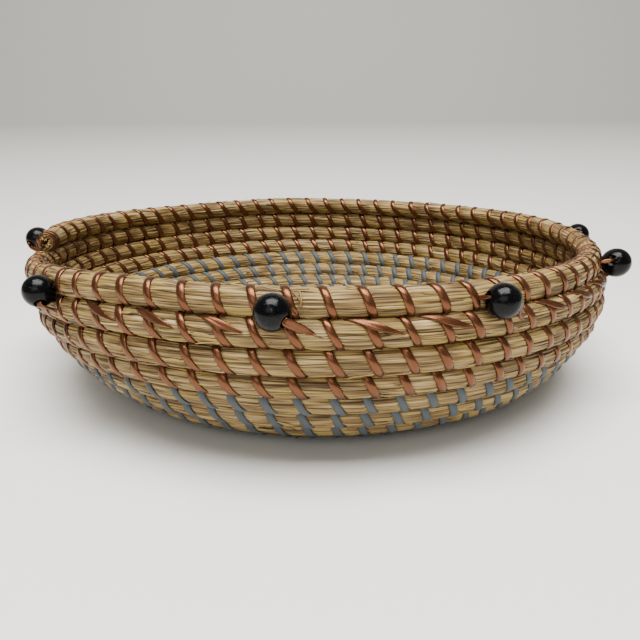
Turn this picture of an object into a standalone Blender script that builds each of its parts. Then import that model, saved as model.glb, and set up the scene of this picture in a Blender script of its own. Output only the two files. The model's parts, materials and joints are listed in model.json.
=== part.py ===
"""A coiled straw bowl: one bundle of straw laid in a spiral, from the middle of the base
up to the rim, bound with copper ribbon. Nine wooden beads turn freely on short strands
of the same ribbon, in the groove under the rim row.

Lengths are in metres and angles in radians. +Z is up, the bowl stands on z = 0 with its
rim round the Z axis, and its front is towards -Y.
"""
import math

import bmesh
import bpy
from mathutils import Matrix, Vector

# The bowl's shape, along the middle of the wall
BASE_RADIUS = 0.090
HEEL_RADIUS = 0.046
WALL_ANGLE = math.radians(56.0)
WALL_LENGTH = 0.0105
SHOULDER_RADIUS = 0.035
RIM_ANGLE = math.radians(113.0)

# The bowl is made by hand: its base stands a little to the right of its rim, and the rim
# dips to the right
LEAN_HEIGHT = 0.070
BASE_RIGHT = 0.0052
RISE_RIGHT = -0.0027
RISE_FRONT = 0.0018

# The straw bundle: six-sided, with a corner on either side of the wall, and a flat side
# pressed against the row above and another against the row below
ROW_PITCH = 0.010
HALF_THICKNESS = 0.0048
ROW_GAP = 0.0007
LOOP_POINTS = 24
FLAT_SHARE = 0.1
START_OFFSET = 0.0029
START_SHARE = 0.52
START_TURNS = 0.45
TIP_SHARE = 0.4
TIP_TURNS = 0.1
TIP_ANGLE = math.radians(-86.0)
COPPER_ROWS = 4
SPLICE_GAP = 0.0004

# The wall's rows are nearly level and step down a row at the left. Further in, over so
# many turns, they even out into a plain spiral
LEVEL_CLIMB = 0.17
STEP_START = 0.82
LEVEL_TURNS = 6.0
EVENING_TURNS = 11.0

# The ribbon and its stitches
RIBBON_WIDTH = 0.003
RIBBON_THICKNESS = 0.0003
SEAT_GAP = 0.00035
WRAP = ((-2, 0.15), (-3, 0.15), (-4, 0.18), (1, 0.15), (0, 0.15), (-1, 0.22))
WRAP_END = math.radians(1.5)
DIAGONAL_LENGTH = 0.0157
DIAGONAL_DROP = 0.0046
DIAGONAL_END_WIDTH = 0.0006
DIAGONAL_STATIONS = 7
DIAGONAL_STEP = 2

# The beads: the way round from the front, in degrees, the rim's stitches from there to the
# next bead, how far the hole slopes down the wall and cants off it, and how far the bead
# hangs above the groove
BEADS = (
    (-5.2, 6, 31.0, 24.0, 0.0022),
    (26.1, 8, 20.0, 14.0, 0.0022),
    (64.1, 6, 24.0, 12.0, 0.0022),
    (95.8, 8, 28.0, 16.0, 0.0022),
    (138.3, 8, 24.0, 20.0, 0.0004),
    (181.6, 8, 30.0, 18.0, 0.0004),
    (225.9, 8, 22.0, 12.0, 0.0005),
    (270.8, 8, 26.0, 20.0, 0.0022),
    (313.7, 8, 46.0, 12.0, 0.0022),
)
BEAD_RADIUS = 0.0064
BEAD_SEAT = 0.0002
BEAD_LEAST_GAP = 0.00015
BORE_RADIUS = 0.0016
BORE_CHAMFER = 0.0005
BEAD_SEGMENTS = 12
BEAD_BANDS = 8
STRAND_RADIUS = 0.00105
STRAND_HALF_WIDTH = 0.0013
STRAND_HALF_THICKNESS = 0.00035
STRAND_SIDES = 6
STRAND_START = 0.0094
STRAND_END = 0.0125
STRAND_LIFT = 0.0019

# Colours and finishes
STRAW = ("straw", (0.60, 0.46, 0.26, 1.0), 0.75, 0.0)
COPPER = ("copper_ribbon", (0.45, 0.17, 0.09, 1.0), 0.32, 0.35)
BLACK_WOOD = ("black_wood", (0.015, 0.015, 0.017, 1.0), 0.25, 0.0)

# Values that follow from the sizes above
LOOP_STEP = 2.0 * math.pi / LOOP_POINTS
HALF_SIDE = HALF_THICKNESS / 2.0
FLOOR_HEIGHT = HALF_THICKNESS * (1.0 - 2.0 * FLAT_SHARE)
RIBBON_ROOM = RIBBON_THICKNESS + 2.0 * SEAT_GAP
HEEL_LENGTH = HEEL_RADIUS * WALL_ANGLE
SHOULDER_LENGTH = SHOULDER_RADIUS * (RIM_ANGLE - WALL_ANGLE)
PROFILE_LENGTH = BASE_RADIUS + HEEL_LENGTH + WALL_LENGTH + SHOULDER_LENGTH
RINGS = int((PROFILE_LENGTH - START_OFFSET) / ROW_PITCH * LOOP_POINTS)
STITCHES = sum(bead[1] for bead in BEADS)
FOLD_ROOM = RIBBON_WIDTH * LOOP_STEP / 4.0


def clear_scene():
    for old in list(bpy.data.objects):
        bpy.data.objects.remove(old, do_unlink=True)


def make_material(name, colour, roughness, metallic):
    material = bpy.data.materials.new(name)
    material.use_nodes = True
    shader = material.node_tree.nodes["Principled BSDF"]
    shader.inputs["Base Color"].default_value = colour
    shader.inputs["Roughness"].default_value = roughness
    shader.inputs["Metallic"].default_value = metallic
    material.diffuse_color = colour
    return material


def make_object(name, mesh, material, placement=None, sharp_angle=50.0):
    mesh.materials.append(material)
    mesh.shade_smooth()
    mesh.set_sharp_from_angle(angle=math.radians(sharp_angle))
    obj = bpy.data.objects.new(name, mesh)
    bpy.context.scene.collection.objects.link(obj)
    if placement is not None:
        obj.matrix_world = placement
    return obj


def loft(name, rings):
    """Joins rings of points, all with as many points, into one closed body of triangles.
    Each four-sided patch is folded along its shorter diagonal."""
    shape = bmesh.new()
    loops = [[shape.verts.new(point) for point in ring] for ring in rings]
    count = len(loops[0])
    for near, far in zip(loops, loops[1:]):
        for i in range(count):
            k = (i + 1) % count
            rising = (near[i].co - far[k].co).length
            falling = (near[k].co - far[i].co).length
            if rising < falling:
                shape.faces.new((near[i], near[k], far[k]))
                shape.faces.new((near[i], far[k], far[i]))
            else:
                shape.faces.new((near[i], near[k], far[i]))
                shape.faces.new((near[k], far[k], far[i]))
    shape.faces.new(loops[0])
    shape.faces.new(loops[-1])
    bmesh.ops.recalc_face_normals(shape, faces=shape.faces)
    mesh = bpy.data.meshes.new(name)
    shape.to_mesh(mesh)
    shape.free()
    return mesh


def profile(distance):
    """The middle of the wall, a distance from the axis along it: radius, height, slope."""
    heel = min(max((distance - BASE_RADIUS) / HEEL_RADIUS, 0.0), WALL_ANGLE)
    past_heel = distance - BASE_RADIUS - HEEL_LENGTH
    straight = min(max(past_heel, 0.0), WALL_LENGTH)
    shoulder = max((past_heel - WALL_LENGTH) / SHOULDER_RADIUS, 0.0)
    slope = heel + shoulder
    radius = min(distance, BASE_RADIUS) + HEEL_RADIUS * math.sin(heel)
    radius += straight * math.cos(WALL_ANGLE)
    height = FLOOR_HEIGHT + HEEL_RADIUS * (1.0 - math.cos(heel))
    height += straight * math.sin(WALL_ANGLE)
    if shoulder > 0.0:
        radius += SHOULDER_RADIUS * (math.sin(slope) - math.sin(WALL_ANGLE))
        height += SHOULDER_RADIUS * (math.cos(WALL_ANGLE) - math.cos(slope))
    return radius, height, slope


def ease(share):
    share = min(max(share, 0.0), 1.0)
    return share * share * (3.0 - 2.0 * share)


def bundle_share(turn):
    """The bundle's size against its full size, turns down from its tip: thin at both ends."""
    from_start = (PROFILE_LENGTH - START_OFFSET) / ROW_PITCH - turn
    at_tip = TIP_SHARE + (1.0 - TIP_SHARE) * ease(turn / TIP_TURNS)
    at_start = START_SHARE + (1.0 - START_SHARE) * ease(from_start / START_TURNS)
    return min(at_tip, at_start)


def row_level(turn):
    """How many rows down the wall the bundle has come, turns down from its tip."""
    row = math.floor(turn)
    part = turn - row
    late = ease((part - STEP_START) / (1.0 - STEP_START))
    level = LEVEL_CLIMB * part + (1.0 - LEVEL_CLIMB) * late
    evenness = min(max((turn - LEVEL_TURNS) / EVENING_TURNS, 0.0), 1.0)
    return row + level + (part - level) * evenness


def wall_place(number, sink=0.0):
    """A place on the middle of the wall, a number of rings down the spiral from its tip:
    where it is, the way out from the bowl's axis, and the wall's slope there."""
    distance = PROFILE_LENGTH - ROW_PITCH * row_level(number / LOOP_POINTS) - sink
    radius, height, slope = profile(distance)
    angle = TIP_ANGLE - number * LOOP_STEP
    lean = (height - FLOOR_HEIGHT) / LEAN_HEIGHT
    height += lean * (RISE_RIGHT * math.sin(angle) + RISE_FRONT * math.cos(angle))
    outward = Vector((math.sin(angle), -math.cos(angle), 0.0))
    middle = Vector((BASE_RIGHT * (1.0 - lean), 0.0, height))
    return middle + radius * outward, outward, slope


def half_height(number):
    """Half the full bundle's height along the wall, from the rows above and below. Where
    the wall bends, rows lean towards each other, and the top rows leave the ribbon room."""
    here, outward, slope = wall_place(number)
    gap = RIBBON_ROOM + (ROW_GAP - RIBBON_ROOM) * ease((number / LOOP_POINTS - 2.0) / TIP_TURNS)
    highest = math.inf
    for other in (number - LOOP_POINTS, number + LOOP_POINTS):
        if 0 <= other <= RINGS:
            there, outward, other_slope = wall_place(other)
            half_tilt = abs(other_slope - slope) / 2.0
            room = (there - here).length - gap - HALF_THICKNESS * math.sin(half_tilt)
            highest = min(highest, room / 2.0 / math.cos(half_tilt))
    return highest


class Ring:
    """One cross-section of the bundle, in the upright plane through the bowl's axis."""

    def __init__(self, number):
        turn = number / LOOP_POINTS
        share = bundle_share(turn)
        full_height = half_height(number)
        self.half_thick = HALF_THICKNESS * share
        self.half_high = full_height * share
        sink = full_height - self.half_high if turn < TIP_TURNS else 0.0
        self.centre, outward, slope = wall_place(number, sink)
        up = Vector((0.0, 0.0, 1.0))
        self.along_wall = math.cos(slope) * outward + math.sin(slope) * up
        self.off_wall = math.sin(slope) * outward - math.cos(slope) * up

    def point(self, off, along):
        return self.centre + off * self.off_wall + along * self.along_wall

    def corner(self, side, extra=0.0):
        """Corner 0 is the outermost, 1 and 2 are the upper ones, and so on round. Extra
        moves every side out by as much."""
        thick, high = self.half_thick, self.half_high
        slant = math.hypot(high, thick / 2.0)
        if side % 3 == 0:
            reach = thick + extra * slant / high
            return self.point(reach if side % 6 == 0 else -reach, 0.0)
        reach = thick / 2.0 + extra * (slant - thick / 2.0) / high
        off = reach if side % 6 in (1, 5) else -reach
        along = high + extra if side % 6 in (1, 2) else -high - extra
        return self.point(off, along)

    def outline(self, along):
        """How far the outer side stands off the middle line, a way up the wall."""
        return self.half_thick * (1.0 - abs(along) / (2.0 * self.half_high))

    def section(self, standing):
        corners = [self.corner(side) for side in range(6)]
        if not standing:
            return corners
        lowest = corners[0]
        cut = [corners[1], corners[-1]]
        for i, neighbour in enumerate(cut):
            share = max(0.03, -lowest.z / (neighbour.z - lowest.z))
            cut[i] = lowest.lerp(neighbour, share)
        return [cut[0]] + corners[1:] + [cut[1]]


def coil_spot(angle, spot):
    """A place on or beside the bundle, an angle down the spiral from its tip. The spot
    gives the place for one ring, and what lies between two rings follows the straight
    lines from one to the next."""
    number = angle / LOOP_STEP
    first = min(int(math.floor(number)), RINGS - 1)
    return spot(Ring(first)).lerp(spot(Ring(first + 1)), number - first)


def coil_section(first, last, standing=False, gap_at=()):
    """Cross-sections of one length of bundle, its ends cut square with a gap to the next."""
    rings = [Ring(number).section(standing) for number in range(first, last + 1)]
    for end, inner in ((0, 1), (-1, -2)):
        if end not in gap_at:
            continue
        length = (rings[end][0] - rings[inner][0]).length
        share = SPLICE_GAP / 2.0 / length
        rings[end] = [a.lerp(b, share) for a, b in zip(rings[end], rings[inner])]
    return rings


def standing_rings():
    """The number of the first ring, from the tip, whose bundle reaches the floor."""
    number = COPPER_ROWS * LOOP_POINTS
    while Ring(number).corner(0).z > 0.0:
        number += 1
    return number - 1


def stitch_angle(stitches):
    """The way round from the front, unwound, of a place counted in stitches from the front
    bead. The stitches are spaced evenly from each bead to the next."""
    rounds = math.floor(stitches / STITCHES)
    left = stitches - rounds * STITCHES
    for i, (start, count, *hang) in enumerate(BEADS):
        if left <= count:
            break
        left -= count
    end = BEADS[i + 1][0] if i + 1 < len(BEADS) else BEADS[0][0] + 360.0
    return math.radians(start + (end - start) * left / count) + 2.0 * math.pi * rounds


def down_from_tip(angle, row):
    """The angle down the spiral of a place at an angle from the front, rows from the top."""
    return (TIP_ANGLE - angle) % (2.0 * math.pi) + 2.0 * math.pi * row


def rim_binding_rings():
    """The ribbon's four-cornered sections, wound round the rim row. It starts in the
    groove, runs up the inside, over the top and down the outside, and moves on round the
    bowl in one direction all the time."""
    tuck = 0.5 + WRAP[-1][1]
    first = -2 * STITCHES
    while stitch_angle(first + tuck) < TIP_ANGLE - 2.0 * math.pi + WRAP_END:
        first += 1
    last = first
    while stitch_angle(last + 1.0 + tuck) < TIP_ANGLE - WRAP_END:
        last += 1
    rings = []
    for wrap in range(first, last + 1):
        stitches = wrap + tuck
        for side, onward in WRAP:
            rings.append(binding_section(stitches, side))
            stitches += onward
            if wrap == last:
                break
    return rings


def binding_section(stitches, side):
    angle = TIP_ANGLE - stitch_angle(stitches)
    middle = coil_spot(angle, lambda ring: ring.corner(side))
    half = RIBBON_WIDTH / 2.0 / middle.xy.length
    clear = SEAT_GAP + (FOLD_ROOM if abs(side) <= 1 else 0.0)
    section = []
    for turn, lift in ((half, 0.0), (-half, 0.0), (-half, 1.0), (half, 1.0)):
        extra = clear + lift * RIBBON_THICKNESS
        section.append(coil_spot(angle + turn, lambda ring: ring.corner(side, extra)))
    return section


def diagonal_rings(crossing):
    """A strand laid over the second row, from its upper half down to its lower half."""
    middle = down_from_tip(stitch_angle(crossing), 1)
    radius = coil_spot(middle, lambda ring: ring.centre).xy.length
    rings = []
    for i in range(DIAGONAL_STATIONS):
        share = 2.0 * i / (DIAGONAL_STATIONS - 1) - 1.0
        angle = middle - share * DIAGONAL_LENGTH / 2.0 / radius
        along = -share * DIAGONAL_DROP / 2.0
        taper = math.sqrt(max(0.0, 1.0 - share * share))
        half = DIAGONAL_END_WIDTH / 2.0 + (RIBBON_WIDTH - DIAGONAL_END_WIDTH) / 2.0 * taper
        section = []
        for edge, lift in ((-half, 0.0), (half, 0.0), (half, 1.0), (-half, 1.0)):
            extra = SEAT_GAP + FOLD_ROOM + lift * RIBBON_THICKNESS
            section.append(coil_spot(angle, lambda ring: flat_spot(ring, along, half, edge, extra)))
        rings.append(section)
    return rings


def flat_spot(ring, along, half, edge, extra):
    """An edge of a flat strip that lies across the bundle's outer corner or beside it."""
    low, high = ring.outline(along - half), ring.outline(along + half)
    ridge = 0.0
    if abs(along) < half:
        ridge = ring.half_thick - low - (high - low) * (half - along) / (2.0 * half)
    return ring.point(ring.outline(along + edge) + ridge + extra, along + edge)


class BeadSeat:
    """Where one bead hangs: outside the wall, against the rim row's lower side."""

    def __init__(self, around, slope, cant, raised):
        self.angle = down_from_tip(math.radians(around), 1)
        lower = coil_spot(self.angle, lambda ring: ring.centre)
        upper = coil_spot(self.angle - 2.0 * math.pi, lambda ring: ring.centre)
        turn = TIP_ANGLE - self.angle
        self.onward = Vector((math.cos(turn), math.sin(turn), 0.0))
        self.up_wall = (upper - lower).normalized()
        self.off_wall = self.onward.cross(self.up_wall)
        high = half_height(self.angle / LOOP_STEP - LOOP_POINTS)
        slant = math.hypot(high, HALF_SIDE)
        reach = BEAD_RADIUS + BEAD_SEAT + HALF_THICKNESS * high / slant
        below = (upper - lower).length / 2.0 - raised
        stand = (reach - below * HALF_SIDE / slant) * slant / high
        self.centre = (upper + lower) / 2.0 + raised * self.up_wall
        self.centre += stand * self.off_wall
        self.radius = lower.xy.length
        self.clear_rows()
        slope, cant = math.radians(slope), math.radians(cant)
        self.axis = (
            math.cos(slope) * math.cos(cant) * self.onward
            - math.sin(slope) * math.cos(cant) * self.up_wall
            + math.sin(cant) * self.off_wall
        )

    def clear_rows(self):
        """Moves the bead straight out while a row's own faces, which turn with the wall's
        curve, come nearer than the least gap."""
        for attempt in range(6):
            short = BEAD_RADIUS + BEAD_LEAST_GAP - self.row_distance()
            if short <= 0.0:
                return
            self.centre += 1.4 * short * self.off_wall

    def row_distance(self):
        """From the bead's middle to the nearest of the outer faces of the rows beside it."""
        least = math.inf
        for row_start in (self.angle - 2.0 * math.pi, self.angle):
            for step in range(-4, 5):
                angle = row_start + step * BEAD_RADIUS / 4.0 / self.radius
                corners = [coil_spot(angle, lambda ring: ring.corner(side)) for side in (1, 0, 5)]
                for start, end in zip(corners, corners[1:]):
                    share = (self.centre - start).dot(end - start) / (end - start).length_squared
                    nearest = start.lerp(end, min(max(share, 0.0), 1.0))
                    least = min(least, (self.centre - nearest).length)
        return least

    def placement(self):
        turn = Vector((0.0, 0.0, 1.0)).rotation_difference(self.axis)
        return Matrix.Translation(self.centre) @ turn.to_matrix().to_4x4()

    def round_bead(self, place):
        """The same place, or moved straight out until the strand there clears the bead."""
        reach = BEAD_RADIUS + 2.2 * STRAND_RADIUS
        away = place - self.centre
        return self.centre + away * max(1.0, reach / away.length)

    def wall_spot(self, onward, along, lift):
        """A place over the second row, lifted off its outer side."""
        angle = self.angle - onward / self.radius
        return coil_spot(angle, lambda ring: ring.point(ring.outline(along) + lift, along))


def bead_mesh():
    """A turned bead about its own Z axis, with a straight hole and eased hole edges."""
    mouth = BORE_RADIUS + BORE_CHAMFER
    polar = math.asin(mouth / BEAD_RADIUS)
    outline = []
    for i in range(BEAD_BANDS + 1):
        angle = polar + (math.pi - 2.0 * polar) * i / BEAD_BANDS
        outline.append((BEAD_RADIUS * math.sin(angle), BEAD_RADIUS * math.cos(angle)))
    half_bore = BEAD_RADIUS * math.cos(polar) - BORE_CHAMFER
    outline += [(BORE_RADIUS, -half_bore), (BORE_RADIUS, half_bore)]
    shape = bmesh.new()
    columns = []
    for k in range(BEAD_SEGMENTS):
        turn = 2.0 * math.pi * k / BEAD_SEGMENTS
        column = [
            shape.verts.new((radius * math.cos(turn), radius * math.sin(turn), height))
            for radius, height in outline
        ]
        columns.append(column)
    for k, column in enumerate(columns):
        following = columns[(k + 1) % BEAD_SEGMENTS]
        for i in range(len(outline)):
            n = (i + 1) % len(outline)
            shape.faces.new((column[i], column[n], following[n], following[i]))
    bmesh.ops.recalc_face_normals(shape, faces=shape.faces)
    mesh = bpy.data.meshes.new("bead")
    shape.to_mesh(mesh)
    shape.free()
    return mesh


def strand_rings(seat):
    """The ribbon that holds a bead: flat where it lies on the row, folded in the hole."""
    rise = STRAND_HALF_THICKNESS + SEAT_GAP + FOLD_ROOM / 2.0
    flat = (STRAND_HALF_WIDTH, STRAND_HALF_THICKNESS)
    thin = (STRAND_HALF_WIDTH / 3.0, STRAND_HALF_THICKNESS)
    folded = (STRAND_RADIUS, STRAND_RADIUS)
    inside = 0.8 * BEAD_RADIUS
    outside = BEAD_RADIUS + 1.3 * STRAND_RADIUS
    lift = STRAND_LIFT * seat.off_wall
    upper_end = seat.wall_spot(-STRAND_START, 0.0014, rise)
    upper_rest = seat.wall_spot(-0.88 * STRAND_START, 0.0020, 1.6 * rise)
    lead_in = seat.centre - outside * seat.axis
    lead_out = seat.centre + outside * seat.axis
    lower_rest = seat.wall_spot(0.78 * STRAND_END, 0.0, 1.6 * rise)
    lower_end = seat.wall_spot(STRAND_END, -0.0012, rise)
    path = (
        (upper_end, thin),
        (upper_rest, flat),
        (seat.round_bead(upper_rest.lerp(lead_in, 0.55) + lift), folded),
        (lead_in, folded),
        (seat.centre - inside * seat.axis, folded),
        (seat.centre + inside * seat.axis, folded),
        (lead_out, folded),
        (seat.round_bead(lower_rest.lerp(lead_out, 0.55)), folded),
        (lower_rest, flat),
        (lower_end, thin),
    )
    rings = []
    for i, (place, (half_wide, half_thick)) in enumerate(path):
        before = path[max(i - 1, 0)][0]
        after = path[min(i + 1, len(path) - 1)][0]
        onward = (after - before).normalized()
        across = onward.cross(seat.off_wall).normalized()
        through = across.cross(onward)
        ring = []
        for k in range(STRAND_SIDES):
            turn = 2.0 * math.pi * k / STRAND_SIDES
            ring.append(
                place
                + half_wide * math.cos(turn) * across
                + half_thick * math.sin(turn) * through
            )
        rings.append(ring)
    return rings


def least_self_gap():
    """The least distance between corners of turns that lie side by side."""
    least = math.inf
    for number in range(RINGS - LOOP_POINTS + 1):
        here = Ring(number).section(False)
        below = Ring(number + LOOP_POINTS).section(False)
        least = min(least, min((a - b).length for a in here for b in below))
    return least


def build():
    clear_scene()
    straw = make_material(*STRAW)
    copper = make_material(*COPPER)
    black = make_material(*BLACK_WOOD)

    copper_end = COPPER_ROWS * LOOP_POINTS
    floor_start = standing_rings()
    lengths = (
        ("upper_wall_coil", 0, copper_end, False, (-1,)),
        ("lower_wall_coil", copper_end, floor_start, False, (0, -1)),
        ("base_coil", floor_start, RINGS, True, (0,)),
    )
    for name, first, last, standing, gap_at in lengths:
        rings = coil_section(first, last, standing, gap_at)
        make_object(name, loft(name, rings), straw, sharp_angle=70.0)

    make_object("rim_binding", loft("rim_binding", rim_binding_rings()), copper)

    bead = bead_mesh()
    beaded = set()
    for i, (around, count, *hang) in enumerate(BEADS):
        beaded.add(sum(earlier[1] for earlier in BEADS[:i]))
        seat = BeadSeat(around, *hang)
        make_object(f"bead_{i + 1}", bead.copy(), black, seat.placement())
        strand = loft("bead_strand", strand_rings(seat))
        make_object(f"bead_strand_{i + 1}", strand, copper)

    number = 0
    for stitches in range(0, STITCHES, DIAGONAL_STEP):
        if stitches in beaded:
            continue
        number += 1
        strip = loft("cross_strand", diagonal_rings(stitches + 0.5))
        make_object(f"cross_strand_{number}", strip, copper)

    print(f"turns of straw: {RINGS / LOOP_POINTS:.2f}")
    print(f"least gap between turns: {least_self_gap() * 1000.0:.2f} mm")


build()
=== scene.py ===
# %% [markdown]
# # A coiled straw basket with copper ribbon and black beads
# The basket is one long bundle of straw, laid in a spiral from the middle of the base to
# the rim. Ribbon winds round each row, copper near the rim and slate blue below, and nine
# black beads hang on ribbon strands under the rim row. The imported model gives every place,
# so this lesson only adds what the eye needs: straws, ribbon, holes, sheen and light.

# %% Load the imported model and group its parts into bodies
import json
import math

import bpy
import numpy as np
from mathutils import Matrix, Vector

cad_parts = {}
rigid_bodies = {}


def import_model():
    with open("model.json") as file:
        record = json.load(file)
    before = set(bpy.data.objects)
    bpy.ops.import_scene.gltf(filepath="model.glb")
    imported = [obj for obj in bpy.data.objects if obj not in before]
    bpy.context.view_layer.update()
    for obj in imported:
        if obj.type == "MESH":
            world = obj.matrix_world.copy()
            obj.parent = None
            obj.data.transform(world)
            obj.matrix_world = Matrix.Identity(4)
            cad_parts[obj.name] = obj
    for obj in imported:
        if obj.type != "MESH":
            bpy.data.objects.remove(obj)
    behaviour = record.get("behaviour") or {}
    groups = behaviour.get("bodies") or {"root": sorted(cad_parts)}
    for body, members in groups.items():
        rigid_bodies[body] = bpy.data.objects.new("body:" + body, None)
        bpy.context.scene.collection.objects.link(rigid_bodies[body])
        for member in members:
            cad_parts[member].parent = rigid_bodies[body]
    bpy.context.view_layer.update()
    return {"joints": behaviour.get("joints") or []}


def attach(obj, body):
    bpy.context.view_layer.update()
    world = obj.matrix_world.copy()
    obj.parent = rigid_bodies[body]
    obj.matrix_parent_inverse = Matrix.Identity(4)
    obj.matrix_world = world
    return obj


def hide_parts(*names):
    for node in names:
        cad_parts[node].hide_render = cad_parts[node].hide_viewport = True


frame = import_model()
random = np.random.default_rng(7)

# %% [markdown]
# ## Camera
# The photograph is taken from a little above the rim, close to the basket, so the near
# beads look much larger than the far ones. A 36 mm lens on a 36 mm sensor sees a view as
# wide as it is far away, like a phone held at arm's length.

# %% Camera
CAMERA_PLACE = Vector((0.0028, -0.3441, 0.1226))
CAMERA_PITCH = math.radians(16.75)
CAMERA_ROLL = math.radians(-0.38)

camera_data = bpy.data.cameras.new("camera")
camera_data.lens = 36.0
camera_data.sensor_width = 36.0
camera = bpy.data.objects.new("camera", camera_data)
bpy.context.scene.collection.objects.link(camera)
turned = Matrix.Rotation(math.pi / 2 - CAMERA_PITCH, 4, "X") @ Matrix.Rotation(CAMERA_ROLL, 4, "Z")
camera.matrix_world = Matrix.Translation(CAMERA_PLACE) @ turned
bpy.context.scene.camera = camera

# %% [markdown]
# ## The line of the coil
# Everything in the basket follows one line: the middle of the bundle, from its tip at the
# left of the rim down to the middle of the base. A place on it is told by one number, the
# turns that the bundle has made since its tip. The rows of the wall are nearly level and
# step down one row at the left, which is how a hand-coiled rim ends.

# %% The bowl's shape, as the model was built
BASE_RADIUS = 0.090
HEEL_RADIUS = 0.046
WALL_ANGLE = math.radians(56.0)
WALL_LENGTH = 0.0105
SHOULDER_RADIUS = 0.035
RIM_ANGLE = math.radians(113.0)
LEAN_HEIGHT = 0.070
BASE_RIGHT = 0.0052
RISE_RIGHT = -0.0027
RISE_FRONT = 0.0018
BACK_RISE = 0.0034
LEAST_DISTANCE = 0.0008
ROW_PITCH = 0.010
HALF_THICKNESS = 0.0048
FLOOR_HEIGHT = 0.8 * HALF_THICKNESS
START_OFFSET = 0.0029
TIP_ANGLE = math.radians(-86.0)
LEVEL_CLIMB = 0.17
STEP_START = 0.82
LEVEL_TURNS = 6.0
EVENING_TURNS = 11.0
HEEL_LENGTH = HEEL_RADIUS * WALL_ANGLE
SHOULDER_LENGTH = SHOULDER_RADIUS * (RIM_ANGLE - WALL_ANGLE)
PROFILE_LENGTH = BASE_RADIUS + HEEL_LENGTH + WALL_LENGTH + SHOULDER_LENGTH
TURNS = (PROFILE_LENGTH - START_OFFSET) / ROW_PITCH


def ease(share):
    share = np.clip(share, 0.0, 1.0)
    return share * share * (3.0 - 2.0 * share)


def row_level(turn):
    row = np.floor(turn)
    part = turn - row
    late = ease((part - STEP_START) / (1.0 - STEP_START))
    level = LEVEL_CLIMB * part + (1.0 - LEVEL_CLIMB) * late
    evenness = np.clip((turn - LEVEL_TURNS) / EVENING_TURNS, 0.0, 1.0)
    return row + level + (part - level) * evenness


def profile(distance):
    heel = np.clip((distance - BASE_RADIUS) / HEEL_RADIUS, 0.0, WALL_ANGLE)
    past_heel = distance - BASE_RADIUS - HEEL_LENGTH
    straight = np.clip(past_heel, 0.0, WALL_LENGTH)
    slope = heel + np.maximum((past_heel - WALL_LENGTH) / SHOULDER_RADIUS, 0.0)
    radius = np.minimum(distance, BASE_RADIUS) + HEEL_RADIUS * np.sin(heel)
    radius = radius + straight * math.cos(WALL_ANGLE)
    radius = radius + SHOULDER_RADIUS * (np.sin(slope) - np.sin(heel))
    height = FLOOR_HEIGHT + HEEL_RADIUS * (1.0 - np.cos(heel)) + straight * math.sin(WALL_ANGLE)
    height = height + SHOULDER_RADIUS * (np.cos(heel) - np.cos(slope))
    return radius, height, slope


def back_share(angle):
    """The rim swings up a little round the back and the right, as a hand-made rim does."""
    degrees = np.degrees(angle) % 360.0
    return ease((degrees - 72.0) / 38.0) * ease((228.0 - degrees) / 45.0)


def coil_place(turn, raise_by=0.0):
    """Centre of the bundle, the way out from the axis, and the wall's slope, for an array of
    turns from the tip."""
    distance = np.maximum(PROFILE_LENGTH - ROW_PITCH * row_level(turn) + raise_by, LEAST_DISTANCE)
    radius, height, slope = profile(distance)
    angle = TIP_ANGLE - 2.0 * math.pi * turn
    lean = (height - FLOOR_HEIGHT) / LEAN_HEIGHT
    height = height + lean * (RISE_RIGHT * np.sin(angle) + RISE_FRONT * np.cos(angle))
    height = height + BACK_RISE * np.clip(lean, 0.0, 1.2) ** 2 * back_share(angle)
    outward = np.stack([np.sin(angle), -np.cos(angle), 0.0 * angle], axis=-1)
    centre = radius[..., None] * outward
    centre[..., 0] += BASE_RIGHT * (1.0 - lean)
    centre[..., 2] = height
    return centre, outward, slope


probe = np.array([0.0, 0.5, 1.5, 4.0, 9.0])
print("middle of the bundle (mm):", np.round(coil_place(probe)[0] * 1000.0, 1).tolist())

# %% [markdown]
# ## Cross-sections and stitches
# The bundle's section is a rounded rectangle that fills its row. The ribbon presses the
# straw in where it crosses, so the section has to know where the stitches are. They are
# counted round the rim, from the bead at the front, and each one drifts on by a full stitch
# while it goes once round the bundle: up the inside, over, and down the outside.

# %% Stitch positions and the bundle's section
BEAD_RADIUS = 0.0064
BORE_RADIUS = 0.0016
BEAD_ROOM = 0.0002
BEADS = (
    (-5.2, 6), (26.1, 8), (64.1, 6), (95.8, 8), (138.3, 8), (181.6, 8), (225.9, 8), (270.8, 8),
    (313.7, 8),
)
STITCHES = sum(bead[1] for bead in BEADS)
KNOT_ANGLES = np.array([bead[0] for bead in BEADS] + [BEADS[0][0] + 360.0])
KNOT_COUNTS = np.concatenate([[0], np.cumsum([bead[1] for bead in BEADS])])
WRAP_SIDES = np.array([-90.0, -55.0, 55.0, 125.0, 235.0, 270.0])
WRAP_DRIFT = np.array([0.70, 0.62, 0.28, 0.12, -0.22, -0.30])
RIM_DRIFT = np.array([0.60, 0.53, 0.29, 0.17, -0.31, -0.40])
SPARSE_RADII = (0.066, 0.034, 0.016)
TIP_START = -0.019
TIP_SHARE = 0.80
TIP_TURNS = 0.030
START_SHARE = 0.85
START_TURNS = 0.15
SQUARENESS = 2.1
ROW_PRESS = 0.0003
FLOOR_GIVE = 0.0004


def stitch_angle(count):
    rounds = np.floor(count / STITCHES)
    inside = np.interp(count - rounds * STITCHES, KNOT_COUNTS, KNOT_ANGLES)
    return np.radians(inside) + 2.0 * math.pi * rounds


def stitch_count(angle):
    degrees = np.degrees(angle) - KNOT_ANGLES[0]
    rounds = np.floor(degrees / 360.0)
    inside = np.interp(degrees - 360.0 * rounds + KNOT_ANGLES[0], KNOT_ANGLES, KNOT_COUNTS)
    return inside + STITCHES * rounds


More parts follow.
